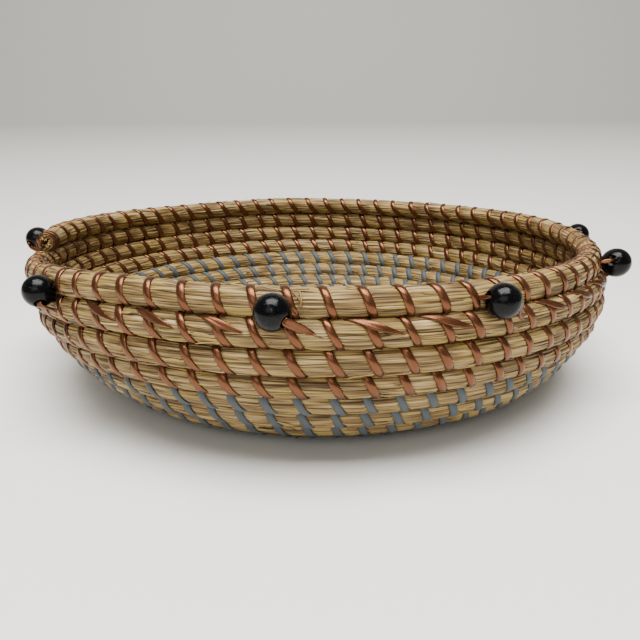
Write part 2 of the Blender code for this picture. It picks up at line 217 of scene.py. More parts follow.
def stitch_spacing(turn):
    """How many of the rim's stitches one stitch takes the place of, nearer the middle."""
    radius = row_radius(turn)
    wide, middling, narrow = SPARSE_RADII
    nearer = np.where(radius > middling, 2.0, np.where(radius > narrow, 4.0, 8.0))
    return np.where(radius > wide, 1.0, nearer)


def half_sizes(turn):
    centre = coil_place(turn)[0]
    above = np.linalg.norm(coil_place(np.maximum(turn - 1.0, TIP_START))[0] - centre, axis=-1)
    below = np.linalg.norm(coil_place(turn + 1.0)[0] - centre, axis=-1)
    above = np.where(turn - 1.0 < TIP_START, below, above)
    below = np.where(turn + 1.0 > TURNS, ROW_PITCH, below)
    high = np.minimum(np.minimum(above, below), ROW_PITCH) / 2.0 + ROW_PRESS
    share = TIP_SHARE + (1.0 - TIP_SHARE) * ease((turn - TIP_START) / TIP_TURNS)
    start_share = START_SHARE + (1.0 - START_SHARE) * ease((TURNS - turn) / START_TURNS)
    share = np.minimum(share, start_share)
    return HALF_THICKNESS * share, high * share, high * (1.0 - share) * (turn < 0.5)


def surface_point(turn, side, lift=0.0):
    """Points on the bundle: side is the angle round its section, in degrees, 0 outermost and
    90 on top. Returns places and outward directions."""
    thick, high, sink = half_sizes(turn)
    centre, outward, slope = coil_place(turn, -sink)
    up = np.array([0.0, 0.0, 1.0])
    along_wall = np.cos(slope)[..., None] * outward + np.sin(slope)[..., None] * up
    off_wall = np.sin(slope)[..., None] * outward - np.cos(slope)[..., None] * up
    cos, sin = np.cos(np.radians(side)), np.sin(np.radians(side))
    power = SQUARENESS
    reach = ((np.abs(cos) / thick) ** power + (np.abs(sin) / high) ** power) ** (-1.0 / power)
    facing_off = np.sign(cos) * (np.abs(cos) / thick) ** (power - 1.0) / thick
    facing_up = np.sign(sin) * (np.abs(sin) / high) ** (power - 1.0) / high
    length = np.hypot(facing_off, facing_up)
    facing = (facing_off / length)[..., None] * off_wall
    facing = facing + (facing_up / length)[..., None] * along_wall
    place = centre + (reach * cos)[..., None] * off_wall + (reach * sin)[..., None] * along_wall
    return place + np.asarray(lift)[..., None] * facing, facing


def row_radius(turn):
    return np.linalg.norm(coil_place(turn)[0][..., :2], axis=-1)


def count_at(turn):
    return stitch_count(TIP_ANGLE - 2.0 * math.pi * np.asarray(turn, float))


def turn_of(count):
    return (TIP_ANGLE - stitch_angle(np.asarray(count, float))) / (2.0 * math.pi)


def stitch_shift(number):
    """No two stitches are spaced alike: each one sits a little off its even place."""
    return 0.045 * np.sin(2.4 * number + 1.7 * np.sin(1.3 * number))


def wrap_drift(turn, side):
    """How many stitches a wrap has moved on at a place round the bundle. The rim's wraps
    stand a little straighter than those below."""
    rim = np.interp(side, WRAP_SIDES, RIM_DRIFT)
    return np.where(turn < 1.0, rim, np.interp(side, WRAP_SIDES, WRAP_DRIFT))


def stitch_distance(turn, side):
    """How far a place on the bundle is from the middle of the nearest stitch, in metres."""
    spacing = stitch_spacing(turn)
    wrapped = (np.asarray(side) + 90.0) % 360.0 - 90.0
    place = count_at(turn) / spacing - wrap_drift(turn, wrapped)
    number = np.round(place)
    off = np.abs(place - number - stitch_shift(number))
    return off * spacing * 2.0 * math.pi * row_radius(turn) / STITCHES


def stitches_between(first_turn, last_turn):
    """Each stitch's number and spacing, from the rim down."""
    found = []
    turn = first_turn
    while turn < last_turn:
        spacing = float(stitch_spacing(np.array(turn)))
        number = math.floor(float(count_at(turn)) / spacing - 0.7)
        found.append((number, spacing))
        turn = max(float(turn_of((number + 0.69) * spacing)), turn + 1e-4)
    return found


def bead_seat(number):
    joint = next(j for j in frame["joints"] if j["name"] == f"bead_{number}_spin")
    return Vector(joint["pos_m"]), Vector(joint["axis"])


bead_seats = [bead_seat(i + 1) for i in range(len(BEADS))]


def clear_of_beads(places):
    """Straws and ribbon give way where a bead leans on them."""
    reach = BEAD_RADIUS + BEAD_ROOM
    for middle, axis in bead_seats:
        away = places - np.array(middle)
        distance = np.linalg.norm(away, axis=-1, keepdims=True)
        places = np.where(distance < reach, np.array(middle) + away * reach / distance, places)
    return places


def unit(vectors):
    return vectors / np.linalg.norm(vectors, axis=1)[:, None]


def lengths_along(places):
    """Metres from the first of the places to each of them, along the line through them."""
    steps = np.linalg.norm(np.diff(places, axis=0), axis=1)
    return np.concatenate([[0.0], np.cumsum(steps)])


def settle(places):
    """What hangs below the floor is pressed flat on it, thin and in the same order."""
    settled = places.copy()
    settled[..., 2] = FLOOR_GIVE * np.logaddexp(0.0, places[..., 2] / FLOOR_GIVE)
    return settled


print("stitches round the rim:", STITCHES)

# %% [markdown]
# ## Helpers for meshes
# Cord-like pieces are lofts: rings of points joined by faces. One helper builds the mesh from
# a grid of points, keeps the way round and along as a UV map, and can store one more number
# for each point, which the materials read as an attribute.

# %% Lofting helper
def add_piece(name, mesh):
    """Puts a finished mesh into the scene as a piece of the basket."""
    mesh.shade_smooth()
    piece = bpy.data.objects.new(name, mesh)
    bpy.context.scene.collection.objects.link(piece)
    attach(piece, "basket")
    return piece


def loft_piece(name, rings, along, around, values=None):
    """rings: stations x points x 3. along: metres along for each station. around: metres round
    for each point, with one more for the seam. Both ends are closed by a face."""
    stations, count = rings.shape[:2]
    points = settle(rings.reshape(-1, 3))
    station = np.arange(stations - 1)[:, None]
    point = np.arange(count)[None, :]
    after = (point + 1) % count
    quads = np.stack([
        station * count + point, station * count + after,
        (station + 1) * count + after, (station + 1) * count + point,
    ], axis=-1).reshape(-1, 4)
    faces = [tuple(quad) for quad in quads.tolist()]
    faces.append(tuple(range(count - 1, -1, -1)))
    faces.append(tuple((stations - 1) * count + i for i in range(count)))
    mesh = bpy.data.meshes.new(name)
    mesh.from_pydata(points.tolist(), [], faces)
    begin = np.broadcast_to(along[:-1, None], (stations - 1, count))
    end = np.broadcast_to(along[1:, None], (stations - 1, count))
    u = np.stack([begin, begin, end, end], axis=-1)
    near, far = around[:-1], around[1:]
    v = np.broadcast_to(np.stack([near, far, far, near], axis=-1)[None], (stations - 1, count, 4))
    uv = np.stack([u, v], axis=-1).reshape(-1, 2)
    uv = np.concatenate([uv, np.zeros((2 * count, 2))])
    layer = mesh.uv_layers.new(name="along")
    layer.data.foreach_set("uv", uv.astype(np.float32).ravel())
    for key, value in (values or {}).items():
        attribute = mesh.attributes.new(key, "FLOAT", "POINT")
        attribute.data.foreach_set("value", np.asarray(value, np.float32).ravel())
    return add_piece(name, mesh)


def slow_noise(places, count, wavelengths, seed):
    """Smooth random numbers along a line, one column for each of count strands, about 1 high."""
    local = np.random.default_rng(seed)
    total = np.zeros((len(places), count))
    for wavelength in wavelengths:
        phase = local.uniform(0.0, 2.0 * math.pi, count)
        stretch = local.uniform(0.8, 1.25, count)
        total += np.sin(2.0 * math.pi * places[:, None] * stretch / wavelength + phase)
    return total / math.sqrt(len(wavelengths))


# %% [markdown]
# ## The straw bundle
# A bundle shows some twenty-six straws round its section, each about a millimetre wide.
# They wander a little, sink and rise, and leave cracks between them, with painted shade in
# them as well. Modelling the whole bundle as one loft with a crest for each straw gives real
# cracks and real shadows with far fewer faces than thousands of separate tubes.

# %% Straw bundle, a row at a time
STRAWS = 26
BUNDLE_GIRTH = 0.0305
PINCH_DEPTH = 0.00034
PINCH_HALF_WIDTH = 0.0019
PINCH_EASE = 0.0006
RIBBON_WIDTH = 0.0031
STATION_OFFSETS = np.array([0.0026, 0.0018, -0.0018, -0.0026])
END_STATIONS = (0.0, 0.003, 0.006, 0.009, 0.012, 0.015)
END_MARGIN = 0.003
BOUND_TURNS = 0.012
LEAN_DRIFT = np.array([0.20, 0.62, 0.28, 0.12, -0.22, 0.20])


def bundle_stations():
    """Stitch counts of the bundle's cross-sections, from the tip on, and the stitch spacing
    at each: two on either side of a stitch, where the straw is pressed in, and one between."""
    counts = [float(count_at(TIP_START + past_end)) for past_end in END_STATIONS]
    spacings = [1.0] * len(END_STATIONS)
    for number, spacing in stitches_between(TIP_START + END_MARGIN, TURNS):
        middle = (number + float(stitch_shift(number))) * spacing
        per_metre = STITCHES / (2.0 * math.pi * float(row_radius(turn_of(middle))))
        limit = 0.42 * spacing / STATION_OFFSETS[0]
        places = middle + STATION_OFFSETS * min(per_metre, limit)
        counts += [*places.tolist(), middle - 0.5 * spacing]
        spacings += [spacing] * 5
    last = float(count_at(TURNS))
    kept = [i for i, count in enumerate(counts) if last < count <= counts[0]]
    counts = [counts[i] for i in kept] + [last]
    spacings = [spacings[i] for i in kept] + [spacings[-1]]
    order = np.argsort(-np.array(counts), kind="stable")
    return np.array(counts)[order], np.array(spacings)[order]


def bundle_shape():
    """Places, tone and painted crack shade of the whole bundle: stations x points."""
    count, spacing = bundle_stations()
    turn = np.clip(turn_of(count), TIP_START, TURNS)
    centre = coil_place(turn)[0]
    along = lengths_along(centre)
    local = np.random.default_rng(5)
    widths = local.uniform(0.55, 1.6, STRAWS)
    edges = np.concatenate([[0.0], np.cumsum(widths)]) * 360.0 / widths.sum() - 90.0
    wander = 3.6 * slow_noise(along, STRAWS, (0.045, 0.12, 0.3), 11)
    edge = edges[:-1] + wander
    following = np.concatenate([edge[:, 1:], edge[:, :1] + 360.0], axis=1)
    rise = 0.00024 * slow_noise(along, STRAWS, (0.028, 0.07, 0.17), 23)
    crack = np.clip(0.45 + 0.75 * slow_noise(along, STRAWS, (0.025, 0.06, 0.15), 37), 0.0, 1.3)
    tone = np.tanh(1.6 * slow_noise(along, STRAWS, (0.03, 0.09), 41))
    side = np.stack([edge, edge * 0.80 + following * 0.20, (edge + following) / 2.0,
                     edge * 0.20 + following * 0.80], axis=-1)
    depth = -0.00006 - 0.00046 * crack
    lift = np.stack([depth, rise - 0.00002, rise + 0.00006, rise - 0.00002], axis=-1)
    side, lift = side.reshape(len(turn), -1), lift.reshape(len(turn), -1)
    leaning = ease((turn - TIP_START) / 0.02) * ease((TURNS - turn) / 0.6) * spacing
    wrapped = (side + 90.0) % 360.0 - 90.0
    leaned = count[:, None] + leaning[:, None] * np.interp(wrapped, WRAP_SIDES, LEAN_DRIFT)
    everywhere = np.clip(turn_of(leaned), TIP_START, TURNS)
    pinch = 1.0 - ease((stitch_distance(everywhere, side) - PINCH_HALF_WIDTH) / PINCH_EASE)
    pinch = np.maximum(pinch, 1.0 - ease((everywhere - TIP_START - BOUND_TURNS) / 0.004))
    share = half_sizes(everywhere)[0] / HALF_THICKNESS
    lift = (lift + 0.00016) * (1.0 - pinch) + (0.35 * lift - PINCH_DEPTH) * pinch
    rings = clear_of_beads(surface_point(everywhere, side, lift * share)[0])
    tones = np.repeat(tone[:, :, None], 4, axis=-1).reshape(side.shape)
    # Painted shade in the cracks: 0.15 to 1 at the bottom of each crack, 0.08 on the straws'
    # shoulders, none on their crests, stored for the material.
    flat = np.zeros_like(crack)
    deep = np.minimum(0.15 + 0.85 * crack, 1.0)
    painted_crack_shade = np.stack([deep, flat + 0.08, flat, flat + 0.08], axis=-1)
    return turn, along, rings, tones, painted_crack_shade.reshape(side.shape)


END_HOLLOW = ((0.30, 0.0015), (0.62, 0.0011), (0.92, 0.0001))
HOLLOW_ALONG = (-0.0045, -0.0035, -0.0012)
# Painted shade in the hollow of the cut end: how dark each of its rings is, from the bottom out.
HOLLOW_PAINTED_SHADE = (1.0, 1.0, 0.35)
START_DOME = ((1.10, 0.0014), (1.15, 0.0030), (1.06, 0.0046), (0.80, 0.0058), (0.40, 0.0065))
START_BEND = 0.34


def end_direction():
    """The way into the bundle at its tip."""
    inward = coil_place(np.array(TIP_START + 0.004))[0] - coil_place(np.array(TIP_START))[0]
    return inward / np.linalg.norm(inward)


def hollow_end(ring):
    """Rings that sink into the bundle's cut end, from the bottom of the hollow out."""
    middle = ring.mean(axis=0)
    return np.stack([
        middle + (ring - middle) * size + end_direction() * depth for size, depth in END_HOLLOW
    ])


def domed_start(ring):
    """Rings that round off the bundle where it begins, so that the base has no hole."""
    middle = ring.mean(axis=0)
    outward = coil_place(np.array(TURNS))[1]
    onward = np.array([outward[1], -outward[0], 0.0]) - START_BEND * outward
    return np.stack([
        middle + (ring - middle) * size + onward * reach for size, reach in START_DOME
    ])


turn, along, rings, tones, painted_crack_shade = bundle_shape()
end_ring = rings[0].copy()
dome = domed_start(rings[-1])
rings = np.concatenate([hollow_end(end_ring), rings, dome])
turn = np.concatenate([np.full(len(END_HOLLOW), TIP_START), turn, np.full(len(dome), TURNS)])
along = np.concatenate([HOLLOW_ALONG, along, along[-1] + np.array(START_DOME)[:, 1]])
tones = np.concatenate([
    np.repeat(tones[:1], len(END_HOLLOW), axis=0), tones, np.repeat(tones[-1:], len(dome), axis=0),
])
hollow_painted_shade = np.repeat(np.array(HOLLOW_PAINTED_SHADE)[:, None], rings.shape[1], axis=1)
painted_crack_shade = np.concatenate([hollow_painted_shade, painted_crack_shade, np.repeat(painted_crack_shade[-1:], len(dome), axis=0)])
around = np.linspace(0.0, BUNDLE_GIRTH, rings.shape[1] + 1)
straw_rows = []
row_ends = [TIP_START, 1.0, 2.0, 3.0, 4.0, 5.0, 6.0, 7.0, 8.0, 9.5, 11.5, 14.0, TURNS]
for number, (first, last) in enumerate(zip(row_ends, row_ends[1:]), start=1):
    low = 0 if number == 1 else int(np.searchsorted(turn, first, side="right")) - 1
    high = len(turn) if last == TURNS else int(np.searchsorted(turn, last, side="right"))
    row = loft_piece(
        f"straw_row_{number}", rings[low:high], along[low:high], around,
        values={"tone": tones[low:high], "crack": painted_crack_shade[low:high]},
    )
    straw_rows.append(row)
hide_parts("upper_wall_coil")
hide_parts("lower_wall_coil")
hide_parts("base_coil")
print("metres of straw bundle:", round(float(along[-1]), 2), "cross-sections:", len(turn))

# %% [markdown]
# ## Ribbon stitches
# Each row is wound with flat ribbon. A stitch leans to the right on its way down the
# outside, presses into the straw, and slips into the groove below. The ribbon is a narrow
# loft that follows the section of the bundle, a little crowned, with thin edges.

# %% Ribbon wound round the rows
WRAP_STATIONS = 22
RIBBON_PROFILE = np.array([
    (-0.50, -0.00008), (-0.46, 0.00020), (-0.26, 0.00050), (0.00, 0.00063), (0.28, 0.00048),
    (0.47, 0.00018), (0.50, -0.00008), (0.25, -0.00040), (-0.25, -0.00040),
])


def ribbon(name, first_turn, last_turn, seed):
    local = np.random.default_rng(seed)
    sides = np.linspace(270.0, -90.0, WRAP_STATIONS + 1)[:-1]
    drift = wrap_drift(first_turn, sides)
    turns, angles, widths = [], [], []
    for number, spacing in stitches_between(first_turn, last_turn):
        width = RIBBON_WIDTH * local.uniform(0.90, 1.08)
        turns.append(turn_of((number + drift + stitch_shift(number)) * spacing))
        angles.append(sides)
        tuck = np.minimum(np.abs(((sides + 90.0) + 180.0) % 360.0 - 180.0) / 38.0, 1.0)
        widths.append(width * (0.78 + 0.22 * tuck))
    turn = np.concatenate(turns[::-1])
    side = np.concatenate(angles[::-1])
    width = np.concatenate(widths[::-1])
    keep = (turn > TIP_START + 0.002) & (turn < TURNS - 0.02)
    turn, side, width = turn[keep], side[keep], width[keep]
    centre, facing = surface_point(turn, side, np.full(len(turn), 0.00012))
    onward = unit(np.gradient(centre, axis=0))
    across = unit(np.cross(facing, onward))
    rings = (
        centre[:, None, :]
        + (RIBBON_PROFILE[:, 0][None, :] * width[:, None])[..., None] * across[:, None, :]
        + RIBBON_PROFILE[:, 1][None, :, None] * facing[:, None, :]
    )
    along = lengths_along(centre)
    around = np.append(RIBBON_PROFILE[:, 0], RIBBON_PROFILE[0, 0]) * RIBBON_WIDTH
    piece = loft_piece(name, clear_of_beads(rings), along, around)
    print(name, "stitches:", len(turns), "ribbon length (m):", round(float(along[-1]), 2))
    return piece


COPPER_ENDS = (TIP_START + END_MARGIN, 1.0, 2.0, 3.0, 4.0)
SLATE_ENDS = (4.0, 5.0, 6.0, 7.0, 8.0, 10.0, 13.0, TURNS)
copper_rows = [
    ribbon(f"copper_ribbon_{i + 1}", first, last, 50 + i)
    for i, (first, last) in enumerate(zip(COPPER_ENDS, COPPER_ENDS[1:]))
]
for i, (first, last) in enumerate(zip(SLATE_ENDS, SLATE_ENDS[1:])):
    ribbon(f"slate_ribbon_{i + 1}", first, last, 60 + i)
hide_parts("rim_binding")

# %% [markdown]
# ## Beads
# Each bead is a turned wooden ball with a hole. A ball is added, its two poles are cut
# off flat, and the open ends are joined by a bridge of faces through the middle, which is
# the bore. The edge of the hole is bevelled a little, as a drill leaves it worn.

# %% Beads
def make_bead(name, matrix):
    bpy.ops.object.select_all(action="DESELECT")
    bpy.ops.mesh.primitive_uv_sphere_add(segments=40, ring_count=26, radius=BEAD_RADIUS)
    bead = bpy.context.active_object
    bead.name = name
    bpy.ops.object.mode_set(mode="EDIT")
    cut = math.sqrt(BEAD_RADIUS ** 2 - (1.25 * BORE_RADIUS) ** 2)
    for direction in (1.0, -1.0):
        bpy.ops.mesh.select_all(action="SELECT")
        bpy.ops.mesh.bisect(
            plane_co=(0.0, 0.0, direction * cut), plane_no=(0.0, 0.0, direction), clear_outer=True,
        )
    bpy.ops.mesh.select_all(action="DESELECT")
    bpy.ops.mesh.select_mode(type="EDGE")
    bpy.ops.mesh.select_non_manifold()
    bpy.ops.mesh.bridge_edge_loops(number_cuts=6, interpolation="LINEAR")
    bpy.ops.mesh.select_all(action="SELECT")
    bpy.ops.mesh.normals_make_consistent(inside=False)
    bpy.ops.object.mode_set(mode="OBJECT")
    bevel = bead.modifiers.new("worn_edge", "BEVEL")
    bevel.width = 0.0003
    bevel.segments = 3
    bevel.angle_limit = math.radians(50.0)
    bpy.ops.object.modifier_apply(modifier="worn_edge")
    bead.data.shade_smooth()
    bead.data.transform(matrix)
    return bead


beads = []
for number in range(1, len(BEADS) + 1):
    middle, axis = bead_seats[number - 1]
    turned = Vector((0.0, 0.0, 1.0)).rotation_difference(axis).to_matrix().to_4x4()
    bead = make_bead(f"wooden_bead_{number}", Matrix.Translation(middle) @ turned)
    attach(bead, f"bead_{number}")
    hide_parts(f"bead_{number}")
    beads.append(bead)
print("beads:", len(beads), "faces each:", len(beads[0].data.polygons))

# %% [markdown]
# ## Strands
# Between the beads, short lengths of ribbon cross the second row on a slant. Both ends
# pierce the straw, so the strand is wide in the middle and pointed at its ends. The strand
# through a bead is folded where it passes the hole.

# %% Strands laid over the second row
def smooth_path(points, count):
    """A smooth curve that passes through every point, with count samples."""
    points = np.asarray(points, float)
    padded = np.concatenate([[2 * points[0] - points[1]], points, [2 * points[-1] - points[-2]]])
    samples = []
    for value in np.linspace(0.0, len(points) - 1.0001, count):
        i = int(value)
        t = value - i
        a, b, c, d = padded[i:i + 4]
        square, cube = 2 * a - 5 * b + 4 * c - d, 3 * b - a - 3 * c + d
        samples.append(0.5 * (2 * b + (c - a) * t + square * t ** 2 + cube * t ** 3))
    return np.array(samples)


CREASED_PROFILE = np.array([
    (-0.50, 0.00000), (-0.42, 0.00030), (-0.24, 0.00052), (-0.10, 0.00016), (0.05, 0.00058),
    (0.24, 0.00018), (0.42, 0.00042), (0.50, 0.00000), (0.25, -0.00030), (-0.25, -0.00030),
])


def ribbon_along(name, path, facing, width, folded=None):
    onward = unit(np.gradient(path, axis=0))
    across = unit(np.cross(facing, onward))
    up = np.cross(onward, across)
    height = CREASED_PROFILE[:, 1][None, :] * np.ones(len(path))[:, None]
    if folded is not None:
        height = height * (1.0 + folded[:, None] * 2.2)
    rings = (
        path[:, None, :]
        + (CREASED_PROFILE[:, 0][None, :] * width[:, None])[..., None] * across[:, None, :]
        + height[..., None] * up[:, None, :]
    )
    along = lengths_along(path)
    around = np.append(CREASED_PROFILE[:, 0], CREASED_PROFILE[0, 0]) * RIBBON_WIDTH
    piece = loft_piece(name, rings, along, around)
    return piece


def turn_at(count, row):
    """Turns from the tip of the place in a row, counted 0 from the rim, at a stitch count."""
    angle = float(stitch_angle(np.array(float(count))))
    return ((TIP_ANGLE - angle) % (2.0 * math.pi)) / (2.0 * math.pi) + row


ROW_TWO_RADIUS = 0.137
bead_counts = KNOT_COUNTS[:-1].tolist()
cross_number = 0
for count in range(0, STITCHES, 2):
    if count in bead_counts:
        continue
    cross_number += 1
    shares = np.linspace(-1.0, 1.0, 17)
    middle_turn = turn_at(count + 0.5, 1)
    wobble = random.uniform(-1.0, 1.0)
    turn = middle_turn - shares * (0.0096 + 0.0008 * wobble) / ROW_TWO_RADIUS / (2.0 * math.pi)
    side = 35.0 - shares * (35.0 + 3.0 * wobble)
    lift = 0.00085 * np.clip(1.15 - np.abs(shares) ** 3 * 1.6, -0.7, 1.0)
    path, facing = surface_point(turn, side, lift)
    width = 0.0028 * np.clip(1.0 - np.abs(shares) ** 1.3, 0.0, 1.0) + 0.0003
    strand = ribbon_along(f"slant_strand_{cross_number}", path, facing, width)
    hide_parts(f"cross_strand_{cross_number}")
print("slanting strands:", cross_number)

# %% Strands through the beads
SHORT_STRANDS = {8: 0.4, 9: 0.45}
BEAD_STRAND_STEPS = 41

for number, (bead_angle, _) in enumerate(BEADS, start=1):
    centre, axis = (np.array(value) for value in bead_seats[number - 1])
    past_tip = (TIP_ANGLE - math.radians(bead_angle)) % (2.0 * math.pi)
    row_turn = past_tip / (2.0 * math.pi) + 1.0
    per_metre = 1.0 / (2.0 * math.pi * ROW_TWO_RADIUS)
    away = surface_point(np.array([row_turn]), np.array([20.0]))[1][0]
    reach = SHORT_STRANDS.get(number, 1.0)
    low_turn = np.array([row_turn - 0.0098 * reach * per_metre])
    lower = 30.0 * (1.0 - reach)
    low_rest = surface_point(low_turn, np.array([20.0 - lower]), np.array([0.0008]))
    last_turn = np.array([row_turn - 0.0150 * reach * per_metre])
    last = surface_point(last_turn, np.array([-8.0 - lower]), np.array([-0.0002]))
    path = smooth_path([
        centre - (BEAD_RADIUS + 0.0010) * axis - 0.0052 * away,
        centre - (BEAD_RADIUS + 0.0003) * axis - 0.0018 * away,
        centre - 0.7 * BEAD_RADIUS * axis, centre + 0.6 * BEAD_RADIUS * axis,
        centre + (BEAD_RADIUS + 0.0003) * axis, low_rest[0][0], last[0][0],
    ], BEAD_STRAND_STEPS)
    facing = np.repeat(away[None, :], len(path), axis=0)
    from_bead = np.linalg.norm(path - centre, axis=1)
    hidden = ease((BEAD_RADIUS + 0.0004 - from_bead) / 0.002)
    step = np.arange(BEAD_STRAND_STEPS)
    ends = np.minimum(step / 5.0, step[::-1] / 9.0)
    full = 0.0018 + 0.0014 * ease((step - 16) / 10.0)
    width = (full - 0.0009 * hidden) * np.clip(ends, 0.10, 1.0)
    strand = ribbon_along(f"bead_ribbon_{number}", path, facing, width, folded=hidden)
    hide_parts(f"bead_strand_{number}")

# %% [markdown]
# ## Loose straws
# A bundle is never tidy: straws end anywhere, cross their neighbours and stick out. A few
# hundred thin strips lie on the rows, each slightly askew, with their ends a little proud.

# %% Loose straws on the rows
LOOSE_STEPS = 8
LOOSE_SECTION = np.array([(-0.5, 0.0), (-0.2, 0.8), (0.25, 0.75), (0.5, 0.0), (0.0, -0.6)])


def loose_straws(name, count, first_turn, last_turn, seed):
    """Straws that lie from one stitch to the next. Some end before they reach it, and their
    ends stand a little proud."""
    local = np.random.default_rng(seed)
    stitches = stitches_between(first_turn, last_turn)
    share = np.linspace(0.0, 1.0, LOOSE_STEPS)
    rings, tones = [], []
    for _ in range(count):
        number, spacing = stitches[local.integers(1, len(stitches))]
        side = local.choice([local.uniform(-70.0, 85.0), local.uniform(95.0, 250.0)])
        reach = local.choice([1.0, local.uniform(0.35, 0.9)])
        way = local.choice([-1.0, 1.0])
        start = number + float(wrap_drift(first_turn, side)) + 0.5 - 0.5 * way
        turn = turn_of((start + way * reach * share) * spacing)
        sides = side + share * local.uniform(-13.0, 13.0)
        free = local.uniform(0.0, 0.0011) if reach < 1.0 else -0.0007
        lift = -0.0006 + 0.00085 * np.sin(np.pi * np.minimum(share, 0.5)) + free * share ** 4
        if turn.min() < TIP_START + 0.01 or turn.max() > TURNS - 0.1:
            continue
        path, facing = surface_point(turn, sides, lift)
        across = np.cross(facing, unit(np.gradient(path, axis=0)))
        slim = local.uniform(0.0004, 0.0010) * np.clip(1.15 - share ** 6, 0.25, 1.0)
        rings.append(
            path[:, None, :]
            + (LOOSE_SECTION[:, 0][None, :] * slim[:, None])[..., None] * across[:, None, :]
            + (LOOSE_SECTION[:, 1][None, :, None] * 0.00024) * facing[:, None, :]
        )
        tones.append(local.normal(0.2, 1.2))
    return straw_strips(name, np.array(rings), np.array(tones))


def straw_strips(name, rings, tones):
    """One mesh of many separate lofts: strips x steps x points x 3."""
    strips, steps, points = rings.shape[:3]
    strip, step, point = np.meshgrid(
        np.arange(strips), np.arange(steps - 1), np.arange(points), indexing="ij",
    )
    here = (strip * steps + step) * points
    after = (point + 1) % points
    there = here + points
    quads = np.stack([here + point, here + after, there + after, there + point], axis=-1)
    start = 0.37 * strip
    low, high = start + step * 0.0016, start + (step + 1) * 0.0016
    near, far = point * 0.0004, (point + 1) * 0.0004
    corners = ((low, near), (low, far), (high, far), (high, near))
    uv = np.stack([np.stack(corner, axis=-1) for corner in corners], axis=-2)
    first = np.arange(strips)[:, None] * steps * points
    ring = np.arange(points)[None, :]
    ends = [*(first + ring[:, ::-1]).tolist(), *(first + (steps - 1) * points + ring).tolist()]
    uv = np.concatenate([uv.reshape(-1, 2), np.zeros((2 * strips * points, 2))])
    mesh = bpy.data.meshes.new(name)
    faces = quads.reshape(-1, 4).tolist() + ends
    mesh.from_pydata(settle(rings.reshape(-1, 3)).tolist(), [], faces)
    layer = mesh.uv_layers.new(name="along")
    layer.data.foreach_set("uv", uv.astype(np.float32).ravel())
    tone = mesh.attributes.new("tone", "FLOAT", "POINT")
    tone.data.foreach_set("value", np.repeat(tones, steps * points).astype(np.float32))
    piece = add_piece(name, mesh)
    return piece


LOOSE_COUNT = 260
LOOSE_ENDS = (TIP_START, 1.0, 2.0, 3.0, 4.0, 6.0, 9.0, 16.0)
loose = [
    loose_straws(f"loose_straws_{i + 1}", LOOSE_COUNT, first, last, 80 + i)
    for i, (first, last) in enumerate(zip(LOOSE_ENDS, LOOSE_ENDS[1:]))
]

# %% Two curled straws beside the front bead
CURL_COUNTS = ((0.47, 0.52, 0.64, 0.71, 0.78), (0.62, 0.66, 0.70, 0.66, 0.58))
CURL_SIDES = ((40.0, 25.0, 5.0, -18.0, -43.0), (48.0, 30.0, 4.0, -14.0, -26.0))
CURL_LIFTS = ((-0.0003, 0.0009, 0.0012, 0.0009, -0.0002), (-0.0003, 0.0008, 0.0014, 0.0012, 0.0003))
curls = []
for counts, sides, lifts in zip(CURL_COUNTS, CURL_SIDES, CURL_LIFTS):
    turns = np.array([turn_at(value, 0) for value in counts])
    places = surface_point(turns, np.array(sides), np.array(lifts))[0]
    path = smooth_path(places, 2 * LOOSE_STEPS)
    onward = unit(np.gradient(path, axis=0))
    across = unit(np.cross(np.array([0.0, -0.9, 0.4]), onward))
    curls.append(
        path[:, None, :] + LOOSE_SECTION[:, 0][None, :, None] * 0.0006 * across[:, None, :]
        + LOOSE_SECTION[:, 1][None, :, None] * 0.00035 * np.cross(onward, across)[:, None, :]
    )
loose.append(straw_strips("curled_straws", np.array(curls), np.array([-0.3, 0.2])))

# %% [markdown]
# ## The end of the coil
# The bundle's end is bound down at the left of the rim. Cut straws show in its hollow, a
# ribbon goes round its very edge, two more cross over it, and the last bit of ribbon is
# folded into the hollow.

# %% Cut straws in the end
STUBS = 60
local = np.random.default_rng(97)
end_middle = end_ring.mean(axis=0)
inward = end_direction()
beside = np.cross(inward, np.array([0.0, 0.0, 1.0]))
beside /= np.linalg.norm(beside)
above = np.cross(beside, inward)
stub_angles = np.linspace(0.0, 2.0 * math.pi, 6)[:-1]
section = np.cos(stub_angles)[:, None] * beside + np.sin(stub_angles)[:, None] * above
stubs = []
for _ in range(STUBS):
    spot = end_ring[local.integers(0, len(end_ring))]
    base = end_middle + (spot - end_middle) * math.sqrt(local.uniform(0.05, 0.80))
    depths = np.linspace(0.0035, local.uniform(-0.0008, 0.0006), 3)
    stub_radius = local.uniform(0.0003, 0.00055)
    stubs.append(base + inward * depths[:, None, None] + section[None] * stub_radius)
loose.append(straw_strips("cut_straws", np.array(stubs), local.normal(0.1, 0.9, STUBS)))


# %% Ribbon over the end
CROSSING_STEPS = 33
FOLD_STEPS = 21


def crossing(name, first_turn, last_turn, width):
    share = np.linspace(0.0, 1.0, CROSSING_STEPS)
    turn = first_turn + (last_turn - first_turn) * share
    side = 262.0 - 344.0 * share
    lift = 0.0003 - 0.0010 * np.clip(np.abs(2.0 * share - 1.0) * 8.0 - 7.0, 0.0, 1.0)
    path, facing = surface_point(turn, side, lift)
    ribbon_along(name, path, facing, np.full(CROSSING_STEPS, width))


